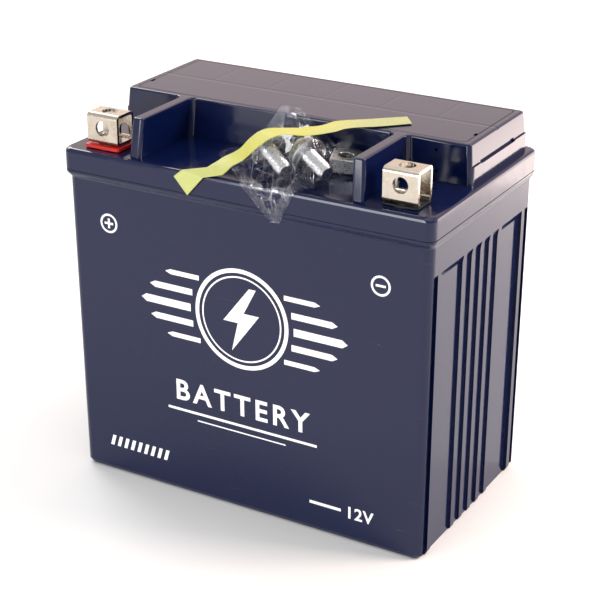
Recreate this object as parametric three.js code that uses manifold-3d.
// Sealed 12 V gel motorcycle battery, 150 x 87 x 145 mm, with its terminal hardware taped on top.
// Millimetres. Origin at the middle of the base; +X to the negative end, -Y to the printed front.
import * as THREE from 'three';
import { mergeVertices } from 'three/addons/utils/BufferGeometryUtils.js';
import Module from 'manifold-3d';

// ---------- driving dimensions ----------
const LENGTH = 150;
const WIDTH = 87;
const HEIGHT = 145;
const GAP = 0.3;

const RIM_TOP = 130.7; // flat ledge that the terminals stand on
const SEAL_LINE = 122.4; // where the lid is welded to the container
const CORNER = 3.4;

const WALL_INSET_X = 1.0; // container wall behind the lid's skirt
const WALL_INSET_Y = 1.6;
const DRAFT = 0.6; // the walls lean in this much more at the base
const END_WALL = 4.0;
const SIDE_WALL = 2.8;
const FLOOR = 3;

const CELLS = 6;
const PARTITION = 1.6;
const CAVITY_X = LENGTH / 2 - WALL_INSET_X - END_WALL;
const CAVITY_Y = WIDTH / 2 - WALL_INSET_Y - SIDE_WALL;
const CELL_PITCH = (2 * CAVITY_X + PARTITION) / CELLS;
const CELL_WIDE = CELL_PITCH - PARTITION;

const BLOCK_END = 70.6; // half length of the raised rear block at its top
const BLOCK_FRONT = -7.1;
const BLOCK_BACK = 39.3;
const DIVIDER_INNER = 42.0;
const DIVIDER_OUTER = 46.7;
const DIVIDER_FRONT = -38.2;
const BLOCK_SPREAD = 0.018; // growth of the block's outline from its top to the ledge
const DECK_TOP = 134.5;
const DECK = 2.0;
const COVER_THICK = 2.4;
const VENT_Y = 16;
const NECK_RADIUS = 5;
const NECK_TOP = 139.4;
const CAP_TOP = 141;

const TERMINAL_X = 60.1;
const TERMINAL_WIDE = 13.2;
const TERMINAL_FRONT = -38.4;
const TERMINAL_DEEP = 10.4;
const TERMINAL_BASE = { positive: 132.4, negative: 131.7 };
const TERMINAL_TOP = 143.9;
const TERMINAL_HOLE = 2.9;
const FRONT_HOLE_Z = 138.4;
const SHEET = 1.2;
const SEAL_MARGIN = { positive: 0.9, negative: 0.15 };
const POST_Y = TERMINAL_FRONT + TERMINAL_DEEP / 2;
const POST_RADIUS = 4;

const PLATE_LOW = 6;
const PLATE_HIGH = 96;
const PLATE_HALF = 36;
const POSITIVE_PLATE = 2.0;
const NEGATIVE_PLATE = 1.6;
const SEPARATOR = 0.85;
const STRAP_LOW = 100;
const STRAP_HIGH = 107;
const STRAP_DEEP = 12.6;
const WELD_Z = 103.5;
const WELD_RADIUS = 2.6;

const wasm = await Module();
wasm.setup();

// ---------- solids ----------
function solid(geometry) {
  const bare = geometry.clone();
  bare.deleteAttribute('normal');
  bare.deleteAttribute('uv');
  const merged = mergeVertices(bare, 1e-4);
  const vertProperties = new Float32Array(merged.attributes.position.array);
  const triVerts = new Uint32Array(merged.index.array);
  return new wasm.Manifold(new wasm.Mesh({ numProp: 3, vertProperties, triVerts }));
}

function join(first, ...others) {
  return others.reduce((whole, next) => whole.add(next), first);
}

function cut(first, ...others) {
  return others.reduce((whole, next) => whole.subtract(next), first);
}

function box(x, y, z) {
  const geometry = new THREE.BoxGeometry(x[1] - x[0], y[1] - y[0], z[1] - z[0]);
  geometry.translate((x[0] + x[1]) / 2, (y[0] + y[1]) / 2, (z[0] + z[1]) / 2);
  return solid(geometry);
}

function rod(radius, from, to, sides = 32, farRadius = radius) {
  const start = new THREE.Vector3(...from);
  const along = new THREE.Vector3(...to).sub(start);
  const geometry = new THREE.CylinderGeometry(farRadius, radius, along.length(), sides);
  geometry.translate(0, along.length() / 2, 0);
  const up = new THREE.Vector3(0, 1, 0);
  geometry.applyQuaternion(new THREE.Quaternion().setFromUnitVectors(up, along.clone().normalize()));
  geometry.translate(...from);
  return solid(geometry);
}

function outline(points) {
  return new THREE.Shape(points.map(([x, y]) => new THREE.Vector2(x, y)));
}

function roundedOutline(halfX, halfY, radius, middleY = 0) {
  const shape = new THREE.Shape();
  const corners = [[1, 1], [-1, 1], [-1, -1], [1, -1]];
  corners.forEach(([sx, sy], turn) => {
    const start = (turn * Math.PI) / 2;
    const x = sx * (halfX - radius);
    const y = middleY + sy * (halfY - radius);
    shape.absarc(x, y, radius, start, start + Math.PI / 2, false);
  });
  return shape;
}

function prism(shape, low, high, curveSegments = 5) {
  const options = { depth: high - low, bevelEnabled: false, curveSegments };
  return solid(new THREE.ExtrudeGeometry(shape, options).translate(0, 0, low));
}

// A profile drawn in Y-Z and drawn out along X.
function prismAlongX(shape, low, high, curveSegments = 6) {
  const options = { depth: high - low, bevelEnabled: false, curveSegments };
  const geometry = new THREE.ExtrudeGeometry(shape, options).translate(0, 0, low);
  geometry.rotateX(Math.PI / 2).rotateZ(Math.PI / 2);
  return solid(geometry);
}

// A profile drawn in X-Z and drawn out along Y, from front to back.
function prismAlongY(shape, front, back, curveSegments = 6) {
  const options = { depth: back - front, bevelEnabled: false, curveSegments };
  const geometry = new THREE.ExtrudeGeometry(shape, options);
  geometry.rotateX(Math.PI / 2).translate(0, back, 0);
  return solid(geometry);
}

// A rounded rectangular tower whose outline is pulled in by [x, y] at each level.
function tower(levels) {
  const steps = levels.length - 1;
  const halfX = LENGTH / 2;
  const halfY = WIDTH / 2;
  const options = { depth: steps, steps, bevelEnabled: false, curveSegments: 5 };
  const geometry = new THREE.ExtrudeGeometry(roundedOutline(halfX, halfY, CORNER), options);
  const place = geometry.attributes.position;
  for (let i = 0; i < place.count; i += 1) {
    const { z, inset } = levels[Math.round(place.getZ(i))];
    const x = (place.getX(i) * (halfX - inset[0])) / halfX;
    const y = (place.getY(i) * (halfY - inset[1])) / halfY;
    place.setXYZ(i, x, y, z);
  }
  return solid(geometry);
}

// Levels that round an edge at the top of a tower.
function roundedEdge(top, radius, turns) {
  return Array.from({ length: turns + 1 }, (_, i) => {
    const angle = (i / turns) * (Math.PI / 2);
    const inset = radius * (1 - Math.cos(angle));
    return { z: top - radius * (1 - Math.sin(angle)), inset: [inset, inset] };
  });
}

function repeat(count, make) {
  return Array.from({ length: count }, (_, i) => make(i));
}

function cellCentre(cell) {
  return (cell - (CELLS - 1) / 2) * CELL_PITCH;
}

function partitionCentre(partition) {
  return (partition + 1 - CELLS / 2) * CELL_PITCH;
}

// ---------- container ----------
const RIB_TOP = 109;
const RIB_RAMP = 3;

// One groove down an end wall, with a ramped top. It is cut from the outer face at x = reach.
function endGroove(side, fromY, toY, depth) {
  const face = LENGTH / 2 + 2;
  const floor = LENGTH / 2 - WALL_INSET_X - depth;
  const shape = outline([
    [side * face, -1], [side * (floor - DRAFT), -1], [side * floor, RIB_TOP - RIB_RAMP],
    [side * (floor + depth), RIB_TOP], [side * face, RIB_TOP],
  ]);
  return prismAlongY(shape, fromY, toY);
}

function endGrooves(side) {
  const deep = 1.5;
  const shallow = 0.5;
  const wall = WIDTH / 2 - WALL_INSET_Y;
  const grooves = [];
  [-1, 1].forEach((half) => {
    const corner = [wall - 5.6, wall - 2.5].map((y) => half * y).sort((a, b) => a - b);
    grooves.push(endGroove(side, ...corner, deep));
    const panel = [wall - 8.2, 16.0].map((y) => half * y).sort((a, b) => a - b);
    grooves.push(endGroove(side, ...panel, deep));
  });
  grooves.push(endGroove(side, -16.1, 16.1, shallow));
  const pitch = 7.3;
  const ribWide = 2.6;
  repeat(4, (i) => {
    const from = (i - 2) * pitch + ribWide / 2;
    grooves.push(endGroove(side, from, from + pitch - ribWide, deep - 0.1));
  });
  return grooves;
}

function makeContainer() {
  const wall = [WALL_INSET_X, WALL_INSET_Y];
  const base = wall.map((inset) => inset + DRAFT);
  const outer = tower([
    { z: 0, inset: base.map((inset) => inset + 1.6) },
    { z: 0.5, inset: base.map((inset) => inset + 0.7) },
    { z: 1.9, inset: base },
    { z: 119.2, inset: wall },
    { z: 119.9, inset: wall.map((inset) => inset * 0.8) },
    { z: 121.0, inset: wall.map((inset) => inset * 0.2) },
    { z: 121.6, inset: [0, 0] },
    { z: SEAL_LINE, inset: [0, 0] },
  ]);
  const cells = repeat(CELLS, (cell) => {
    const x = cellCentre(cell);
    const half = CELL_WIDE / 2;
    return box([x - half, x + half], [-CAVITY_Y, CAVITY_Y], [FLOOR, SEAL_LINE + 5]);
  });
  const weldHoles = repeat(CELLS - 1, (partition) => {
    const x = partitionCentre(partition);
    const y = strapY(partition % 2 === 0);
    return rod(WELD_RADIUS + GAP, [x - 2, y, WELD_Z], [x + 2, y, WELD_Z], 20);
  });
  return cut(outer, ...cells, ...weldHoles, ...endGrooves(-1), ...endGrooves(1));
}

// ---------- lid ----------
// Outline of the raised block with its two dividers, seen from above.
function blockOutline() {
  const shape = new THREE.Shape();
  const corner = 1.6;
  const joint = 2.2;
  const nose = 1.3;
  const quarter = Math.PI / 2;
  const inner = DIVIDER_INNER;
  const outer = DIVIDER_OUTER;
  const front = DIVIDER_FRONT;
  const wall = BLOCK_FRONT;
  shape.absarc(BLOCK_END - corner, BLOCK_BACK - corner, corner, 0, quarter, false);
  shape.absarc(-BLOCK_END + corner, BLOCK_BACK - corner, corner, quarter, 2 * quarter, false);
  shape.absarc(-BLOCK_END + corner, wall + corner, corner, 2 * quarter, 3 * quarter, false);
  shape.absarc(-outer - joint, wall - joint, joint, quarter, 0, true);
  shape.absarc(-outer + nose, front + nose, nose, 2 * quarter, 3 * quarter, false);
  shape.absarc(-inner - nose, front + nose, nose, 3 * quarter, 4 * quarter, false);
  shape.absarc(-inner + joint, wall - joint, joint, 2 * quarter, quarter, true);
  shape.absarc(inner - joint, wall - joint, joint, quarter, 0, true);
  shape.absarc(inner + nose, front + nose, nose, 2 * quarter, 3 * quarter, false);
  shape.absarc(outer - nose, front + nose, nose, 3 * quarter, 4 * quarter, false);
  shape.absarc(outer + joint, wall - joint, joint, 2 * quarter, quarter, true);
  shape.absarc(BLOCK_END - corner, wall + corner, corner, 3 * quarter, 4 * quarter, false);
  return shape;
}

function makeBlock() {
  const round = 0.9;
  const low = RIM_TOP - 2;
  const options = {
    depth: HEIGHT - round - low, curveSegments: 4, bevelEnabled: true, bevelSegments: 2,
    bevelSize: round, bevelThickness: round, bevelOffset: -round,
  };
  const geometry = new THREE.ExtrudeGeometry(blockOutline(), options).translate(0, 0, low);
  const place = geometry.attributes.position;
  for (let i = 0; i < place.count; i += 1) {
    const spread = 1 + (BLOCK_SPREAD * (HEIGHT - place.getZ(i))) / (HEIGHT - RIM_TOP);
    const y = VENT_Y + (place.getY(i) - VENT_Y) * (2 * spread - 1);
    place.setXY(i, place.getX(i) * spread, y);
  }
  return solid(geometry);
}

// The lower part of the block stands out a little at each end, under a long shallow pry slot.
const STEP_TOP = 137;

function makeEndSteps() {
  const middle = (BLOCK_BACK + BLOCK_FRONT) / 2;
  const halfY = (BLOCK_BACK - BLOCK_FRONT) / 2 + 0.3;
  return prism(roundedOutline(BLOCK_END + 1.35, halfY, 1.7, middle), RIM_TOP - 1, STEP_TOP, 4);
}

function endSlot(side) {
  const x = [side * (BLOCK_END + 0.35), side * (BLOCK_END + 3)].sort((a, b) => a - b);
  return box(x, [0, 28.5], [STEP_TOP - 0.3, STEP_TOP + 1]);
}

function makeLid() {
  const skirt = tower([{ z: SEAL_LINE + GAP, inset: [0, 0] }, ...roundedEdge(RIM_TOP, 1.5, 3)]);
  const body = join(skirt, makeBlock(), makeEndSteps());
  const headSpace = [
    box([-CAVITY_X, CAVITY_X], [-CAVITY_Y, CAVITY_Y], [SEAL_LINE - 1, RIM_TOP - 2.7]),
    box([-CAVITY_X + 1, CAVITY_X - 1], [BLOCK_FRONT + 2.3, BLOCK_BACK - 2.5],
      [SEAL_LINE - 1, DECK_TOP - DECK]),
  ];
  const coverSeat = prism(
    roundedOutline(67.9, (BLOCK_BACK - BLOCK_FRONT) / 2 - 1.9, 2, (BLOCK_BACK + BLOCK_FRONT) / 2),
    HEIGHT - COVER_THICK - GAP, HEIGHT + 1, 3,
  );
  const chamber = box([-66.6, 66.6], [BLOCK_FRONT + 4.6, BLOCK_BACK - 5],
    [DECK_TOP, HEIGHT - COVER_THICK]);
  const ribs = repeat(CELLS - 1, (partition) => {
    const x = [partitionCentre(partition) - PARTITION / 2, partitionCentre(partition) + PARTITION / 2];
    const low = SEAL_LINE + GAP;
    return join(
      box(x, [-CAVITY_Y - 1, CAVITY_Y + 1], [low, RIM_TOP - 2]),
      box(x, [BLOCK_FRONT + 1.5, BLOCK_BACK - 1.5], [low, DECK_TOP - DECK / 2]),
    );
  });
  const necks = repeat(CELLS, (cell) => {
    const x = cellCentre(cell);
    return rod(NECK_RADIUS, [x, VENT_Y, DECK_TOP - 1], [x, VENT_Y, NECK_TOP], 24);
  });
  const bores = repeat(CELLS, (cell) => {
    const x = cellCentre(cell);
    return rod(3.4, [x, VENT_Y, DECK_TOP - DECK - 1], [x, VENT_Y, NECK_TOP + 1], 24);
  });
  const postHoles = [-1, 1].map((side) => rod(
    POST_RADIUS + 1.8, [side * TERMINAL_X, POST_Y, SEAL_LINE], [side * TERMINAL_X, POST_Y, 133], 28,
  ));
  const vent = rod(0.6, [58, BLOCK_FRONT - 2, 141.4], [58, BLOCK_FRONT + 6, 141.4], 10);
  const pinMark = rod(0.6, [58.4, BLOCK_FRONT - 2, 133.9], [58.4, BLOCK_FRONT + 0.8, 133.9], 10);
  const hollow = cut(body, ...headSpace, coverSeat, chamber, endSlot(-1), endSlot(1));
  return cut(join(hollow, ...ribs, ...necks), ...bores, ...postHoles, vent, pinMark);
}

function makeTopCover() {
  const middle = (BLOCK_BACK + BLOCK_FRONT) / 2;
  const halfY = (BLOCK_BACK - BLOCK_FRONT) / 2 - 1.9 - GAP;
  const low = HEIGHT - COVER_THICK;
  const plate = prism(roundedOutline(67.9 - GAP, halfY, 1.8, middle), low, HEIGHT, 3);
  const holdDowns = repeat(CELLS, (cell) => {
    const x = cellCentre(cell);
    return rod(4, [x, VENT_Y, low - 0.6], [x, VENT_Y, low + 1], 20);
  });
  const notches = [-1, 1].map((side) => {
    const x = [side * 66.6, side * 69].sort((a, b) => a - b);
    return box(x, [3.2, 5.8], [HEIGHT - 1, HEIGHT + 1]);
  });
  return cut(join(plate, ...holdDowns), ...notches);
}

// A rubber cap that sits over a vent neck and lifts a little to let gas out.
function makeValveCap(cell) {
  const at = (radius, z) => new THREE.Vector2(radius, z);
  const cup = [
    at(0, NECK_TOP + GAP), at(NECK_RADIUS + GAP, NECK_TOP + GAP),
    at(NECK_RADIUS + GAP, DECK_TOP + GAP), at(6.8, DECK_TOP + GAP), at(6.8, 135.8),
    at(6.4, 136.2), at(6.4, CAP_TOP - 0.6), at(5.8, CAP_TOP), at(0, CAP_TOP),
  ];
  const geometry = new THREE.LatheGeometry(cup, 28).rotateX(Math.PI / 2);
  return solid(geometry.translate(cellCentre(cell), VENT_Y, 0));
}

// ---------- terminals ----------
// Tinned sheet folded into a square loop, open at both ends for the nut.
function makeTerminalBlock(side, base) {
  const x = side * TERMINAL_X;
  const middleZ = (base + TERMINAL_TOP) / 2;
  const loop = (margin, radius) => {
    const halfY = TERMINAL_DEEP / 2 - margin;
    const halfZ = (TERMINAL_TOP - base) / 2 - margin;
    const halfX = TERMINAL_WIDE / 2 + (margin ? 1 : 0);
    return prismAlongX(roundedOutline(halfY, halfZ, radius), -halfX, halfX, 5)
      .translate([x, POST_Y, middleZ]);
  };
  const front = [x, TERMINAL_FRONT - 1, FRONT_HOLE_Z];
  const frontHole = rod(TERMINAL_HOLE, front, [x, TERMINAL_FRONT + 3, FRONT_HOLE_Z], 32);
  const topHole = rod(TERMINAL_HOLE, [x, POST_Y, TERMINAL_TOP - 3], [x, POST_Y, TERMINAL_TOP + 1], 32);
  const back = TERMINAL_FRONT + TERMINAL_DEEP;
  const arch = prismAlongY(terminalArch(side, base), back - SHEET - 1, back + 1);
  const outer = [side * (TERMINAL_X + 3.9), side * (TERMINAL_X + 8)].sort((a, b) => a - b);
  const notch = box(outer, [TERMINAL_FRONT + SHEET + 0.7, back - SHEET - 0.7], [base - 1, base + 2]);
  return cut(loop(0, 1.7), loop(SHEET, 0.6), frontHole, topHole, arch, notch);
}

// The back wall is cut away under an arch, which leaves a thin leg at its inboard edge.
function terminalArch(side, base) {
  const radius = 2.3;
  const top = 138.6;
  const low = base + SHEET + 0.7;
  const x = [side * (TERMINAL_X - 0.9), side * (TERMINAL_X - 5.7)].sort((a, b) => a - b);
  const shape = new THREE.Shape();
  shape.moveTo(x[0], low);
  shape.lineTo(x[1], low);
  shape.absarc(x[1] - radius, top - radius, radius, 0, Math.PI / 2, false);
  shape.absarc(x[0] + radius, top - radius, radius, Math.PI / 2, Math.PI, false);
  return shape;
}

function makeTerminalSeal(side, base, margin) {
  const x = side * TERMINAL_X;
  const foot = roundedOutline(TERMINAL_WIDE / 2 + margin, TERMINAL_DEEP / 2 + margin, 1.2);
  const plate = prism(foot, RIM_TOP + GAP, base - GAP, 3).translate([x, POST_Y, 0]);
  const collar = rod(POST_RADIUS + 1.5, [x, POST_Y, 126.5], [x, POST_Y, RIM_TOP + 0.5], 28);
  const bore = rod(POST_RADIUS + GAP, [x, POST_Y, 120], [x, POST_Y, 140], 28);
  return cut(join(plate, collar), bore);
}

function makeTerminalPost(side, base) {
  const x = side * TERMINAL_X;
  return rod(POST_RADIUS, [x, POST_Y, STRAP_HIGH + GAP], [x, POST_Y, base - GAP], 24);
}

// ---------- cells ----------
// Straps sit at the front (false) or at the back (true) of a cell.
function strapY(atBack) {
  return (atBack ? 1 : -1) * 31.2;
}

// Plates cast onto one lead strap. The plates share the cell with the other polarity's plates.
function plateGroup(cell, positions, thick, atBack, flagSide) {
  const y = strapY(atBack);
  const x0 = cellCentre(cell);
  const deep = [y - STRAP_DEEP / 2, y + STRAP_DEEP / 2];
  const plates = positions.map((offset) => {
    const x = [x0 + offset - thick / 2, x0 + offset + thick / 2];
    const plate = box(x, [-PLATE_HALF, PLATE_HALF], [PLATE_LOW, PLATE_HIGH]);
    return join(plate, box(x, [y - 4, y + 4], [PLATE_HIGH - 1, STRAP_LOW + 1]));
  });
  const reach = positions[positions.length - 1] + thick / 2;
  const flag = CELL_WIDE / 2 - GAP;
  const x = [x0 - reach, x0 + reach];
  if (flagSide > 0) x[1] = x0 + flag;
  if (flagSide < 0) x[0] = x0 - flag;
  return join(box(x, deep, [STRAP_LOW, STRAP_HIGH]), ...plates);
}

const PLATE_STEP = POSITIVE_PLATE / 2 + NEGATIVE_PLATE / 2 + SEPARATOR + 2 * GAP;

function makePositivePlates(cell) {
  const atBack = cell % 2 === 1;
  return plateGroup(cell, [-2, 0, 2].map((k) => k * PLATE_STEP), POSITIVE_PLATE, atBack, -1);
}

function makeNegativePlates(cell) {
  const atBack = cell % 2 === 0;
  return plateGroup(cell, [-3, -1, 1, 3].map((k) => k * PLATE_STEP), NEGATIVE_PLATE, atBack, 1);
}

// A glass mat folded back and forth between the plates of one cell.
function makeSeparator(cell) {
  const layers = 6;
  const end = PLATE_HALF + GAP + SEPARATOR;
  const half = SEPARATOR / 2;
  const z = [PLATE_LOW - 1, PLATE_HIGH + 1];
  const middle = (layer) => cellCentre(cell) + (layer - (layers - 1) / 2) * PLATE_STEP;
  const sheets = repeat(layers, (layer) => {
    const x = middle(layer);
    return box([x - half, x + half], [-end, end], z);
  });
  const folds = repeat(layers - 1, (layer) => {
    const y = layer % 2 === 0 ? [end - SEPARATOR, end] : [-end, -end + SEPARATOR];
    return box([middle(layer) - half, middle(layer + 1) + half], y, z);
  });
  return join(...sheets, ...folds);
}

function makeIntercellWeld(partition) {
  const x = partitionCentre(partition);
  const y = strapY(partition % 2 === 0);
  const half = PARTITION / 2;
  return rod(WELD_RADIUS, [x - half, y, WELD_Z], [x + half, y, WELD_Z], 20);
}

// ---------- hardware taped on top ----------
const BOLTS = [
  { seat: [6.6, -32.4, 139.6], point: [16.4, -38.2, 135.7] },
  { seat: [21.0, -29.8, 139.2], point: [31.6, -35.9, 136.4] },
];
const NUTS = [
  { middle: [10.0, -17.8, 138.7], tilt: [25, -20, 30] },
  { middle: [28.2, -17.0, 134.9], tilt: [4, 3, 20] },
];

function makeBolt({ seat, point }) {
  const base = new THREE.Vector3(...seat);
  const along = new THREE.Vector3(...point).sub(base).normalize();
  const on = (distance) => base.clone().addScaledVector(along, distance).toArray();
  const flange = rod(6.6, on(-1.3), on(0), 28);
  const head = rod(5.77, on(-5), on(-1), 6);
  const shank = rod(3, on(-0.5), on(11.2), 20);
  const point45 = rod(3, on(11.2), on(12), 20, 2.4);
  return join(flange, head, shank, point45);
}

function makeNut({ middle, tilt }) {
  const body = cut(box([-5, 5], [-5, 5], [-2.5, 2.5]), rod(2.6, [0, 0, -4], [0, 0, 4], 20));
  return body.rotate(tilt).translate(middle);
}

// The clear pouch: a low hump over the bolts, open along its back edge.
function makeBag() {
  const hump = (skin) => outline([
    [-14 + skin, 131.1 + skin], [38 - skin, 131.1 + skin], [38 - skin, 134 - skin],
    [33 - skin, 142.5 - skin], [26 - skin, 147.8 - skin], [2 + skin, 147.8 - skin],
    [-6 + skin, 138.5 - skin], [-14 + skin, 133 - skin],
  ]);
  const outer = prismAlongY(hump(0), -41.4, -9.6);
  return outer.subtract(prismAlongY(hump(0.7), -40.7, -9));
}

// The strip of paper tape, from the front rim over the pouch and onto the block.
function makeTape() {
  const thick = 0.4;
  const wide = 8.8;
  const low = [[0, 131.2], [1, 134.2], [11, 140], [22, 148.4], [51, 148.4], [61, 145.4], [82, 145.3]];
  const strip = outline([...low, ...low.map(([s, z]) => [s, z + thick]).reverse()]);
  const flat = prismAlongY(strip, -wide / 2, wide / 2);
  return flat.rotate([0, 0, 42]).translate([-18, -40, 0]);
}

// ---------- the assembly ----------
const battery = new THREE.Group();
battery.name = 'motorcycle_battery';

const finishes = {
  case_plastic: { color: 0x23264a, roughness: 0.28, metalness: 0 },
  tinned: { color: 0xe6dcc4, roughness: 0.25, metalness: 1 },
  red_seal: { color: 0xb81d12, roughness: 0.5, metalness: 0 },
  black_rubber: { color: 0x151515, roughness: 0.6, metalness: 0 },
  lead: { color: 0x6f7478, roughness: 0.6, metalness: 0.8 },
  positive_paste: { color: 0x4a2a1f, roughness: 0.9, metalness: 0 },
  glass_mat: { color: 0xe9e7df, roughness: 0.95, metalness: 0 },
  zinc: { color: 0xb9bcc0, roughness: 0.35, metalness: 1 },
  film: { color: 0xdfe6ea, roughness: 0.1, metalness: 0 },
  tape: { color: 0xd8e57c, roughness: 0.6, metalness: 0 },
};

function place(name, shape, finish) {
  const { vertProperties, triVerts } = shape.getMesh();
  const geometry = new THREE.BufferGeometry();
  geometry.setAttribute('position', new THREE.BufferAttribute(new Float32Array(vertProperties), 3));
  geometry.setIndex(new THREE.BufferAttribute(new Uint32Array(triVerts), 1));
  geometry.computeVertexNormals();
  const mesh = new THREE.Mesh(geometry, new THREE.MeshStandardMaterial(finishes[finish]));
  mesh.name = name;
  battery.add(mesh);
}

place('container', makeContainer(), 'case_plastic');
place('lid', makeLid(), 'case_plastic');
place('top_cover', makeTopCover(), 'case_plastic');
[['positive', -1, 'red_seal'], ['negative', 1, 'black_rubber']].forEach(([sign, side, seal]) => {
  const base = TERMINAL_BASE[sign];
  place(`terminal_block_${sign}`, makeTerminalBlock(side, base), 'tinned');
  place(`terminal_seal_${sign}`, makeTerminalSeal(side, base, SEAL_MARGIN[sign]), seal);
  place(`terminal_post_${sign}`, makeTerminalPost(side, base), 'lead');
});
repeat(CELLS, (cell) => {
  place(`valve_cap_${cell + 1}`, makeValveCap(cell), 'black_rubber');
  place(`positive_plates_${cell + 1}`, makePositivePlates(cell), 'positive_paste');
  place(`negative_plates_${cell + 1}`, makeNegativePlates(cell), 'lead');
  place(`separator_${cell + 1}`, makeSeparator(cell), 'glass_mat');
});
repeat(CELLS - 1, (partition) => {
  place(`intercell_weld_${partition + 1}`, makeIntercellWeld(partition), 'lead');
});
BOLTS.forEach((bolt, i) => place(`terminal_bolt_${i + 1}`, makeBolt(bolt), 'zinc'));
NUTS.forEach((nut, i) => place(`terminal_nut_${i + 1}`, makeNut(nut), 'zinc'));
place('hardware_bag', makeBag(), 'film');
place('tape', makeTape(), 'tape');

export default battery;
